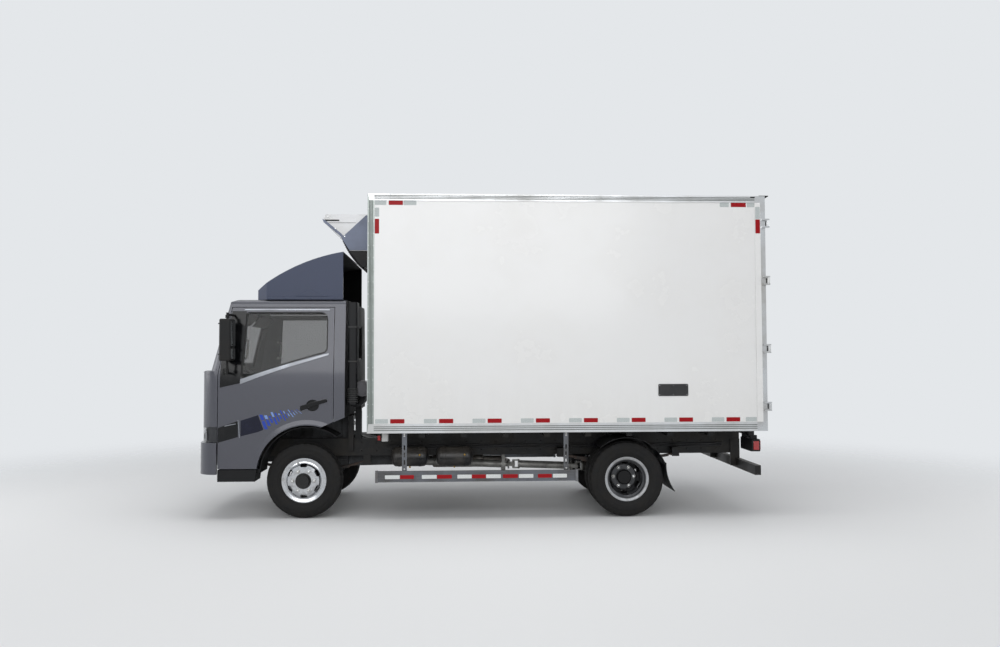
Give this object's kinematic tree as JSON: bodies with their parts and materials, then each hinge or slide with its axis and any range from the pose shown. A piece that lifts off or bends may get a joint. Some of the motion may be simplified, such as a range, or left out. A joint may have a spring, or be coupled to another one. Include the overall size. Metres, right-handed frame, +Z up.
{
  "type": "refrigerated truck",
  "caption": "Light two-axle truck with an insulated box body, a front-mounted cooling unit, a tilting cab, opening doors, steering and free-rolling wheels.",
  "frame": {"origin": "on the ground, at mid length and mid width", "axes": "+X forward, +Y to the truck's left, +Z up"},
  "size_m": [5.9808, 2.43, 3.355],
  "materials": {
    "tyre": "black rubber",
    "polished_wheel": "polished alloy",
    "painted_wheel": "silver painted steel",
    "cast_steel": "bare dark casting",
    "spring_steel": "black painted spring steel",
    "chassis_black": "black chassis paint",
    "exhaust_steel": "dull steel",
    "tank_metal": "plain aluminium",
    "black_plastic": "grained black plastic",
    "subframe_paint": "dark grey paint",
    "white_panel": "gloss white gel coat",
    "edge_aluminium": "extruded aluminium",
    "stainless": "brushed stainless steel",
    "unit_white": "white moulded housing",
    "guard_aluminium": "anodised aluminium",
    "lamp_red": "red lens",
    "lamp_clear": "clear lens over a bright reflector",
    "cab_paint": "dark grey metallic paint",
    "glass": "tinted safety glass",
    "interior_grey": "grained grey plastic",
    "seat_fabric": "dark woven fabric"
  },
  "bodies": {
    "chassis": {"front_axle": "cast_steel", "rear_axle": "chassis_black", "leaf_springs": "spring_steel", "chassis_frame": "chassis_black", "engine": "cast_steel", "prop_shaft": "chassis_black", "exhaust": "exhaust_steel", "fuel_tank": "tank_metal", "battery_box": "black_plastic", "box_subframe": "subframe_paint", "box_floor": "white_panel", "box_side_walls": "white_panel", "box_front_wall": "white_panel", "box_roof": "white_panel", "box_edge_rails": "edge_aluminium", "box_door_frame": "stainless", "fridge_unit": "unit_white", "evaporator": "unit_white", "side_guards": "guard_aluminium", "rear_underrun_bar": "chassis_black", "tail_lamps": "lamp_red", "rear_mudguards": "black_plastic", "air_intake": "black_plastic"},
    "cab": {"cab_frame": "cab_paint", "cab_glass": "glass", "cab_roof": "cab_paint", "headlamps": "lamp_clear", "front_panel": "cab_paint", "front_bumper": "cab_paint", "cab_floor": "interior_grey", "front_arches": "black_plastic", "roof_fairing": "cab_paint", "dashboard": "interior_grey", "seats": "seat_fabric", "steering_wheel": "black_plastic"},
    "left_cab_door": {"left_cab_door": "cab_paint", "left_door_glass": "glass", "left_mirror": "black_plastic"},
    "right_cab_door": {"right_cab_door": "cab_paint", "right_door_glass": "glass", "right_mirror": "black_plastic"},
    "left_box_door": {"box_left_door": "white_panel", "box_left_door_gear": "stainless"},
    "right_box_door": {"box_right_door": "white_panel", "box_right_door_gear": "stainless"},
    "left_knuckle": {"left_knuckle": "cast_steel"},
    "right_knuckle": {"right_knuckle": "cast_steel"},
    "tie_rod": {"tie_rod": "chassis_black"},
    "front_left_wheel": {"front_left_tyre": "tyre", "front_left_wheel": "polished_wheel"},
    "front_right_wheel": {"front_right_tyre": "tyre", "front_right_wheel": "polished_wheel"},
    "rear_left_wheels": {"rear_left_tyres": "tyre", "rear_left_wheels": "painted_wheel"},
    "rear_right_wheels": {"rear_right_tyres": "tyre", "rear_right_wheels": "painted_wheel"}
  },
  "joints": [
    {"name": "cab_tilt", "type": "hinge", "parent": "chassis", "child": "cab", "pos_m": [2.702, 0, 0.69], "axis": [0, 1, 0], "range_deg": [0, 45]},
    {"name": "left_cab_door_hinge", "type": "hinge", "parent": "cab", "child": "left_cab_door", "pos_m": [2.728, 0.959, 1.4], "axis": [0, 0, -1], "range_deg": [0, 70]},
    {"name": "right_cab_door_hinge", "type": "hinge", "parent": "cab", "child": "right_cab_door", "pos_m": [2.728, -0.959, 1.4], "axis": [0, 0, 1], "range_deg": [0, 70]},
    {"name": "left_box_door_hinge", "type": "hinge", "parent": "chassis", "child": "left_box_door", "pos_m": [-2.98, 1.144, 2.1], "axis": [0, 0, -1], "range_deg": [0, 260]},
    {"name": "right_box_door_hinge", "type": "hinge", "parent": "chassis", "child": "right_box_door", "pos_m": [-2.98, -1.144, 2.1], "axis": [0, 0, 1], "range_deg": [0, 260]},
    {"name": "left_steering", "type": "hinge", "parent": "chassis", "child": "left_knuckle", "pos_m": [1.862, 0.64, 0.392], "axis": [0, 0, 1], "range_deg": [-35, 35]},
    {"name": "right_steering", "type": "hinge", "parent": "chassis", "child": "right_knuckle", "pos_m": [1.862, -0.64, 0.392], "axis": [0, 0, 1], "range_deg": [-35, 35]},
    {"name": "tie_rod_ball", "type": "hinge", "parent": "left_knuckle", "child": "tie_rod", "pos_m": [1.682, 0.64, 0.308], "axis": [0, 0, 1], "range_deg": [-35, 35]},
    {"name": "front_left_wheel_spin", "type": "hinge", "parent": "left_knuckle", "child": "front_left_wheel", "pos_m": [1.862, 0.77, 0.392], "axis": [0, 1, 0], "continuous": true},
    {"name": "front_right_wheel_spin", "type": "hinge", "parent": "right_knuckle", "child": "front_right_wheel", "pos_m": [1.862, -0.77, 0.392], "axis": [0, 1, 0], "continuous": true},
    {"name": "rear_left_wheels_spin", "type": "hinge", "parent": "chassis", "child": "rear_left_wheels", "pos_m": [-1.508, 0.745, 0.392], "axis": [0, 1, 0], "continuous": true},
    {"name": "rear_right_wheels_spin", "type": "hinge", "parent": "chassis", "child": "rear_right_wheels", "pos_m": [-1.508, -0.745, 0.392], "axis": [0, 1, 0], "continuous": true}
  ],
  "couplings": [
    {"joint": "right_steering", "follows": "left_steering", "ratio": 1},
    {"joint": "tie_rod_ball", "follows": "left_steering", "ratio": -1}
  ]
}
